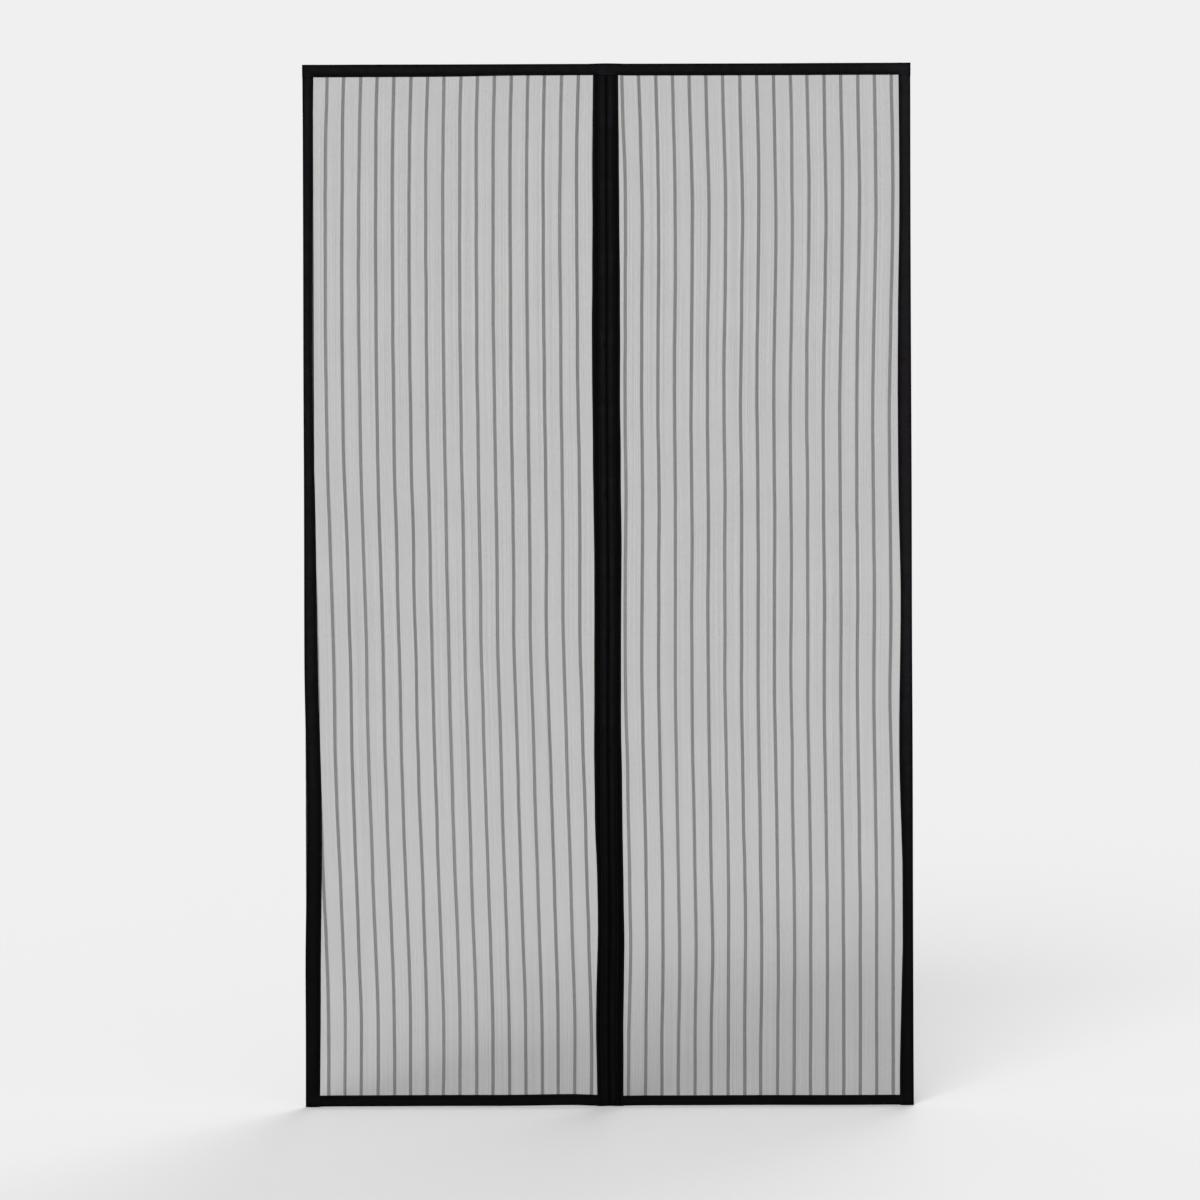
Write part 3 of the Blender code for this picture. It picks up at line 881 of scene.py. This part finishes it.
def sideEdge(side, height):
    # how far in the outer edge lies, and how much wider the front leaf shows than half of the tape
    rise = (height - screenBottom) / screenHeight
    drawn = sideTape["drawIn"][side] * hump(rise - sideTape["drawAt"], sideTape["drawReach"])
    ends = smoothStep(min(rise, 1 - rise) / sideTape["waveFade"])
    waved = sideTape["wave"] * (1 + sway(height, sideTape["waveLength"], 12.0 + 5.0 * sides[side]))
    return drawn + waved * ends, through(sideTape["wider"][side], screenTop - height)


def sideBinding(side):
    sign = sides[side]
    hemEnd = hemWidth + clearance
    lip = screenHeight - headerWidth - clearance
    tucked = sideHigh.z - screenBottom

    def place(rise, across, depth):
        inward, _ = sideEdge(side, screenBottom + rise)
        return (sign * (halfWidth - inward - across), netDepth + depth, screenBottom + rise)

    def sectionAt(rise):
        front = blendTo(over, snug, smoothStep((rise - hemEnd) / layerRamp))
        back = blendTo(over, snug, smoothStep((rise - lip + layerRamp) / layerRamp))
        _, shown = sideEdge(side, screenBottom + rise)
        soft = smoothStep((lip - rise) / sideTape["flatTop"])
        seamed = smoothStep((rise - hemWidth + sideTape["seamUnder"]) / binding["seamFade"])
        atEnd = smoothStep(rise / binding["endFade"])

        def shape(across, width):
            lift, worn = leafShape(across, width, sideTape["crown"], seamed)
            # painted highlight on the side tape's crown, fading out at its lower end
            return (lift + puckered(rise, 4.0 + sign, across, width)) * soft, worn * atEnd

        # from the front, the back leaf never shows past the front one
        hidden = sideWidth - max(shown, sideTape["backShorter"] - shown)
        return foldedSection(sideWidth + shown, hidden, front, back, shape)

    seamSpan = (binding["seamEnd"], lip - binding["seamEnd"] / 2)
    loftTape(side + "_side_binding", (0.0, tucked), binding["step"], sectionAt, place, [side + "_side_tape"],
             [lipSeam], seamSpan, 3 + sign)


# Hems: over the bottom edges, with their ends inside the side tape and the placket

hem = {
    "wave": 0.0003, "waveLength": 0.22, "crown": 0.0006,
    "rise": {"left": 0.0014, "right": 0.0}, "riseAt": 0.06, "riseReach": 0.16,
    "wider": {"left": 0.0030, "right": 0.0006}, "flatEnd": 0.012, "waveFade": 0.050, "waveFrom": 0.010,
    "seamStart": 0.0070, "seamStop": 0.0090,
}


def hemBinding(side):
    sign = sides[side]
    low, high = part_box(side + "_hem_tape")
    start, end = sorted((abs(low.x), abs(high.x)))

    def place(across, up, depth):
        inside = min(across - start - hem["waveFrom"], end - sideWidth - across)
        fade = smoothStep(inside / hem["waveFade"])
        lift = hem["wave"] * (1 + sway(across, hem["waveLength"], 23.0 + sign))
        lift += hem["rise"][side] * hump(across - start - hem["riseAt"], hem["riseReach"])
        return (sign * across, netDepth + depth, screenBottom + up + lift * fade)

    def sectionAt(across):
        soft = smoothStep(min(across - start, end - across) / hem["flatEnd"])

        def shape(up, width):
            lift, worn = leafShape(up, width, hem["crown"])
            return (lift + puckered(across, 8.0 + sign, up, width)) * soft, worn

        wider = hem["wider"][side] * soft
        return foldedSection(hemWidth + wider, hemWidth - wider, snug, snug, shape)

    seamSpan = (placketWidth + hem["seamStart"], halfWidth - sideWidth - hem["seamStop"])
    loftTape(side + "_hem_binding", (start, end), binding["step"], sectionAt, place, [side + "_hem_tape"],
             [lipSeam], seamSpan, 6 + sign)


# Plackets: wider tapes over the inner edges, with the magnets in a rounded channel beside the fold

placket = {
    "channelEnd": 0.0166, "seamMargin": 0.0026,
    "ridge": 0.0016, "ridgeOnMagnet": 0.0010, "ridgeWaver": 0.22, "ridgeWaverLength": 0.07,
    "backShare": 0.35, "pocketRamp": 0.016, "points": 18, "crowding": 0.92, "step": 0.0060,
    "foldPoints": 3, "foldReach": 0.0013, "flatEnd": 0.010, "press": 0.00006,
    "lock": 0.0005, "lockDepth": 0.0022, "lockReach": 0.006,
    # the flat flange gets only a faint painted highlight, so it stays in painted shade beside the ridge
    "puff": 0.0004, "seamDraw": 0.00025, "seamReach": 0.0015, "flangeWear": 0.10,
    "aside": -0.0008, "wander": 0.0008, "wanderLength": 0.30, "wanderFade": 0.02,
    "lean": 0.0026, "leanAt": 0.168, "leanReach": 0.11, "edgeWave": 0.0004, "edgeWaveLength": 0.11,
    "wider": {
        "left": ((0, 0.0017), (0.18, 0.0025), (0.50, 0.0046), (0.92, 0.0032), (1.34, 0.0026), (1.56, 0.0028),
                 (1.77, -0.0013), (1.98, 0.0), (2.20, -0.0006)),
        "right": ((0, -0.0015), (0.18, -0.0004), (0.50, 0.0013), (0.92, 0.0020), (1.34, 0.0010),
                  (1.56, 0.0025), (1.77, 0.0030), (1.87, 0.0048), (1.98, 0.0043), (2.20, 0.0030))},
    "dentDrops": {"left": (0.593, 0.911, 1.228), "right": (0.809, 1.196, 1.450, 1.805)},
    # in the dents the painted highlight gives way to painted shade
    "dentDepth": 0.0011, "dentReach": 0.011, "dentAt": 0.004, "dentAcross": 0.007, "dentWear": 0.7,
}
magnetHeights = {
    side: [(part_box(name)[0].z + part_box(name)[1].z) / 2 for name in sorted(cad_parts)
           if name.startswith(side + "_magnet")]
    for side in sides
}
magnetLow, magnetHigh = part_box("right_magnet_01")
magnetHalf = (magnetHigh.z - magnetLow.z) / 2
magnetRoom = (magnetHigh.y - magnetLow.y) / 2 + clearance


def middleLine(height):
    # the two folds meet on a line that wanders a little
    rise = (height - screenBottom) / screenHeight
    ends = min(1.0, rise / placket["wanderFade"], (1 - rise) / placket["wanderFade"])
    swing = placket["aside"] + placket["wander"] * sway(height, placket["wanderLength"], 31.0)
    return (swing + placket["lean"] * hump(rise - placket["leanAt"], placket["leanReach"])) * ends


def placketCover(side):
    sign = sides[side]
    tucked = placketHigh.z - screenBottom
    lip = screenTop - headerWidth - clearance
    hemEnd = screenBottom + hemWidth + clearance
    half = leaf / 2

    def sectionAt(rise):
        height = screenBottom + rise
        grip = blendTo(over, snug, smoothStep((height - hemEnd) / layerRamp))
        away = min(abs(height - middle) for middle in magnetHeights[side])
        onMagnet = 1 - smoothStep((away - magnetHalf) / placket["pocketRamp"])
        atEnd = smoothStep((height - screenBottom) / placket["flatEnd"])
        ends = atEnd * smoothStep((lip - height) / placket["flatEnd"])
        wider = through(placket["wider"][side], screenTop - height)
        waver = placket["edgeWave"] * sway(height, placket["edgeWaveLength"], 40.0 + sign)
        width = placketWidth + wider + waver
        dents = sum(hump(height - (screenTop - drop), placket["dentReach"])
                    for drop in placket["dentDrops"][side])
        ridge = (placket["ridge"] + placket["ridgeOnMagnet"] * onMagnet) * ends
        ridge *= 1 + placket["ridgeWaver"] * sway(height, placket["ridgeWaverLength"], 60.0 + sign)
        room = blendTo(snug, magnetRoom, onMagnet * ends)

        def shape(across, ridge, dents):
            share = across / placket["channelEnd"]
            if share < 1:
                arch = math.sin(math.pi * min(max(share, 0.0), 1.0))
                least = blendTo(snug, room, min(1.0, arch * 2.4))
                dent = dents * hump(across - placket["dentAt"], placket["dentAcross"])
                depth = max(least, least + ridge * arch ** 0.75 - placket["dentDepth"] * dent * ends)
                # painted highlight on the ridge over the magnets, stronger on a magnet, with painted shade in
                # the dents and at the lower end
                worn = arch ** 1.2 * (0.82 + 0.18 * onMagnet) * (1 - placket["dentWear"] * dent) * atEnd
                return depth + (grip - snug) * smoothStep(share * 1.4 - 0.4), worn
            flange = (across - placket["channelEnd"]) / (width - placket["channelEnd"])
            puff = placket["puff"] * math.sin(math.pi * min(max(flange, 0.0), 1.0))
            draw = placket["seamDraw"] * hump(across - (width - placket["seamMargin"]), placket["seamReach"])
            pucker = puckered(height, 70.0 + sign, across, width) * 0.6
            return grip + (puff - draw + pucker) * ends, placket["flangeWear"]

        count = placket["points"]
        reach = placket["foldReach"]
        spots = [blendTo(width, reach, (i / (count - 1)) ** placket["crowding"]) for i in range(count)]
        front, back = [], []
        for across in spots:
            depth, worn = shape(across, ridge, dents)
            front.append((across, -(depth + half), worn))
            depth, worn = shape(across, ridge * placket["backShare"], 0.0)
            back.append((across, depth + half, worn))
        nose = (back[-1][1] - front[-1][1]) / 2
        middle = (back[-1][1] + front[-1][1]) / 2
        fold = []
        for i in range(1, placket["foldPoints"] + 1):
            angle = math.pi * i / (placket["foldPoints"] + 1)
            fold.append((reach - (reach - half) * math.sin(angle), middle - nose * math.cos(angle), 0.0))
        return front + fold + back[::-1]

    def place(rise, across, depth):
        # both folds follow one wavy line front to back and press together, so no light passes between
        height = screenBottom + rise
        lock = placket["lock"] * math.sin(math.pi * depth / placket["lockDepth"])
        lock *= hump(across, placket["lockReach"])
        return (middleLine(height) + lock + sign * (across - placket["press"]), netDepth + depth, height)

    seams = [lambda width: width - placket["seamMargin"], lambda width: placket["channelEnd"]]
    seamSpan = (binding["seamEnd"], lip - screenBottom - binding["seamEnd"] / 2)
    loftTape(side + "_placket_cover", (0.0, tucked), placket["step"], sectionAt, place, [side + "_placket"],
             seams, seamSpan, 9 + sign)


headerTape()
for side in sides:
    sideBinding(side)
    hemBinding(side)
    placketCover(side)
print("tapes made, with plackets over", sum(len(found) for found in magnetHeights.values()), "magnets")


# Fixing tapes: loops on a woven strip behind the header and the sides, and hooks on a film that sticks
# to the frame

fixing = {
    "weave": 0.0005, "film": 0.0005, "spacing": 0.0050, "jitter": 0.0011, "margin": 0.0009,
    "loopRadius": 0.00036, "loopStart": -28, "loopSweep": 236, "loopInset": 0.000468,
    "hookRadius": 0.00030, "hookStart": -35, "hookSweep": 215, "hookInset": 0.000405,
    "threadRadius": 0.00007, "stationStep": 0.030, "edge": 0.00015,
}


def tuftNodes():
    # a bent thread on each point, turned about the line that stands out of the strip
    tree, graph, entry = newTree("fixingTufts", {
        "Radius": 0.0003, "Thread radius": 0.00007, "Start": 0.0, "Sweep": 3.6, "Tip over": 0.0, "Seed": 1,
        "Material": None})
    arc = graph.add("GeometryNodeCurveArc", {"mode": "RADIUS"}, {
        "Resolution": 5, "Radius": entry["Radius"], "Start Angle": entry["Start"],
        "Sweep Angle": entry["Sweep"]})
    tuft = graph.tube(arc, 3, entry["Thread radius"])
    spin = graph.randomBetween(0.0, 2 * math.pi, entry["Seed"])
    size = graph.randomBetween(0.86, 1.04, entry["Seed"] + 7)
    placed = graph.add("GeometryNodeInstanceOnPoints", {}, {
        "Points": entry, "Instance": tuft, "Rotation": graph.vector(entry["Tip over"], spin),
        "Scale": graph.vector(size, size, size)})
    closeTree(graph, placed, entry["Material"])
    return tree


tuftTree = tuftNodes()


def flatStrip(name, low, high, front, back, material, replaced):
    # a thin strip between two depths, as a ring of stations along its longer side
    upright = high.z - low.z > high.x - low.x
    start, end = (low.z, high.z) if upright else (low.x, high.x)
    near, far = (low.x, high.x) if upright else (low.z, high.z)
    edge = fixing["edge"]
    ring = [(near, front + edge), (near + edge, front), (far - edge, front), (far, front + edge),
            (far, back - edge), (far - edge, back), (near + edge, back), (near, back - edge)]
    stations = stationsAlong(start, end, fixing["stationStep"])
    rows = [[(a, d, s) if upright else (s, d, a) for a, d in ring] for s in stations]

    def cloth(i, j):
        a, d = ring[j % len(ring)]
        return a - near + d, stations[i]

    return finishPiece(name, gridMesh(name, rows, cloth, closed=True), material, replaced)


def tuftSpots(low, high, depth, seed):
    margin, spacing, jitter = fixing["margin"], fixing["spacing"], fixing["jitter"]
    columns = max(1, round((high.x - low.x - 2 * margin) / spacing))
    lines = max(1, round((high.z - low.z - 2 * margin) / spacing))
    spots = []
    for i in range(columns + 1):
        for j in range(lines + 1):
            x = blendTo(low.x + margin, high.x - margin, i / columns)
            z = blendTo(low.z + margin, high.z - margin, j / lines)
            shift = noise.noise_vector(Vector((i * 0.73, j * 0.57, seed))) * jitter
            x = min(max(x + shift.x, low.x + margin), high.x - margin)
            z = min(max(z + shift.z, low.z + margin), high.z - margin)
            spots.append((x, depth, z))
    return spots


def tufts(name, spots, radius, start, sweep, tipOver, seed, material):
    mesh = bpy.data.meshes.new(name)
    mesh.from_pydata(spots, [], [])
    made = runThroughNodes(mesh, tuftTree, {
        "Radius": radius, "Thread radius": fixing["threadRadius"], "Start": math.radians(start),
        "Sweep": math.radians(sweep), "Tip over": tipOver, "Seed": seed, "Material": material})
    return finishPiece(name, made, material)


def fixingTapes(where, seed):
    low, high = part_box(where + "_loop_tape")
    weave = flatStrip(where + "_loop_weave", low, high, low.y, low.y + fixing["weave"], blackPile,
                      [where + "_loop_tape"])
    spots = tuftSpots(low, high, high.y - fixing["loopInset"], seed)
    pile = tufts(where + "_loop_pile", spots, fixing["loopRadius"], fixing["loopStart"], fixing["loopSweep"],
                 0.0, seed, blackPile)
    low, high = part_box(where + "_hook_tape")
    flatStrip(where + "_hook_film", low, high, high.y - fixing["film"], high.y, blackHooks,
              [where + "_hook_tape"])
    spots = tuftSpots(low, high, low.y + fixing["hookInset"], seed + 20)
    tufts(where + "_hook_teeth", spots, fixing["hookRadius"], fixing["hookStart"], fixing["hookSweep"],
          math.pi, seed + 20, blackHooks)


for seed, where in enumerate(("top", "left", "right")):
    fixingTapes(where, seed + 31)
print("fixing tapes made")

for name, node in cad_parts.items():
    if "magnet" in name:
        node.data.materials.clear()
        node.data.materials.append(darkFerrite)


# Studio: a pale floor just under the hem, and the same pale colour all round

studio = {
    "background": 0.87, "fill": 0.50, "softness": 36.0,
    "floor": 0.7225, "floorDrop": 0.0008, "floorSize": 60.0, "floorDrift": 0.005, "driftSize": 0.6,
    "suns": {"keyLight": (2.1, -22, 38), "backLight": (1.3, 155, 45)},
}


def makeFloor():
    slab = bmesh.new()
    bmesh.ops.create_grid(slab, x_segments=1, y_segments=1, size=studio["floorSize"])
    bmesh.ops.translate(slab, verts=slab.verts, vec=(0, 0, screenBottom - studio["floorDrop"]))
    floor = linked("floor", meshFrom("floor", slab))

    def plaster(graph):
        drift = graph.noiseAt(graph.objectPlace(), studio["driftSize"], 2.0)
        return {"Base Color": graph.mixColour(drift, grey(studio["floor"] * (1 - studio["floorDrift"])),
                                              grey(studio["floor"] * (1 + studio["floorDrift"])))}

    floor.data.materials.append(newMaterial("paleFloor", plaster, {
        "Roughness": 0.9, "Specular IOR Level": 0.0}))


def makeWorld():
    world = bpy.data.worlds.new("studio")
    world.use_nodes = True
    bpy.context.scene.world = world
    graph = Graph(world.node_tree)
    path = graph.add("ShaderNodeLightPath")
    seen = path + path["Is Glossy Ray"] + path["Is Transmission Ray"]
    colour = graph.mixColour(seen.maths("MINIMUM", 1.0), grey(studio["fill"]), grey(studio["background"]))
    light = graph.add("ShaderNodeBackground", {}, {"Color": colour, "Strength": 1.0})
    graph.add("ShaderNodeOutputWorld", {}, {"Surface": light})


def makeSun(name, strength, azimuth, elevation):
    # azimuth 0 shines from the front, 90 from the right
    lamp = bpy.data.lights.new(name, "SUN")
    lamp.energy = strength
    lamp.angle = math.radians(studio["softness"])
    turn, rise = math.radians(azimuth), math.radians(elevation)
    towards = Vector((math.sin(turn) * math.cos(rise), -math.cos(turn) * math.cos(rise), math.sin(rise)))
    linked(name, lamp).rotation_euler = towards.to_track_quat("Z", "Y").to_euler()


makeFloor()
makeWorld()
for name, sun in studio["suns"].items():
    makeSun(name, *sun)

# Camera: level and square on, rolled a little as the photograph is

view = {
    "distance": 4.6, "metresPerPixel": screenHeight / 1042.0, "picture": 1200,
    "middlePixel": (608.1, 584.7), "roll": 0.2, "sensor": 36.0,
}


def makeCamera():
    scale = view["metresPerPixel"]
    half = view["picture"] / 2
    lens = bpy.data.cameras.new("camera")
    lens.sensor_width = view["sensor"]
    lens.lens = view["sensor"] * view["distance"] / (view["picture"] * scale)
    camera = linked("camera", lens)
    middle = Vector((0.0, netDepth, (screenTop + screenBottom) / 2))
    aside = (half - view["middlePixel"][0]) * scale
    down = (view["middlePixel"][1] - half) * scale
    camera.location = middle + Vector((aside, -view["distance"], down))
    camera.rotation_euler = (math.pi / 2, math.radians(view["roll"]), 0.0)
    bpy.context.scene.camera = camera


makeCamera()
bpy.context.scene.view_settings.view_transform = "Standard"
print("studio and camera set")
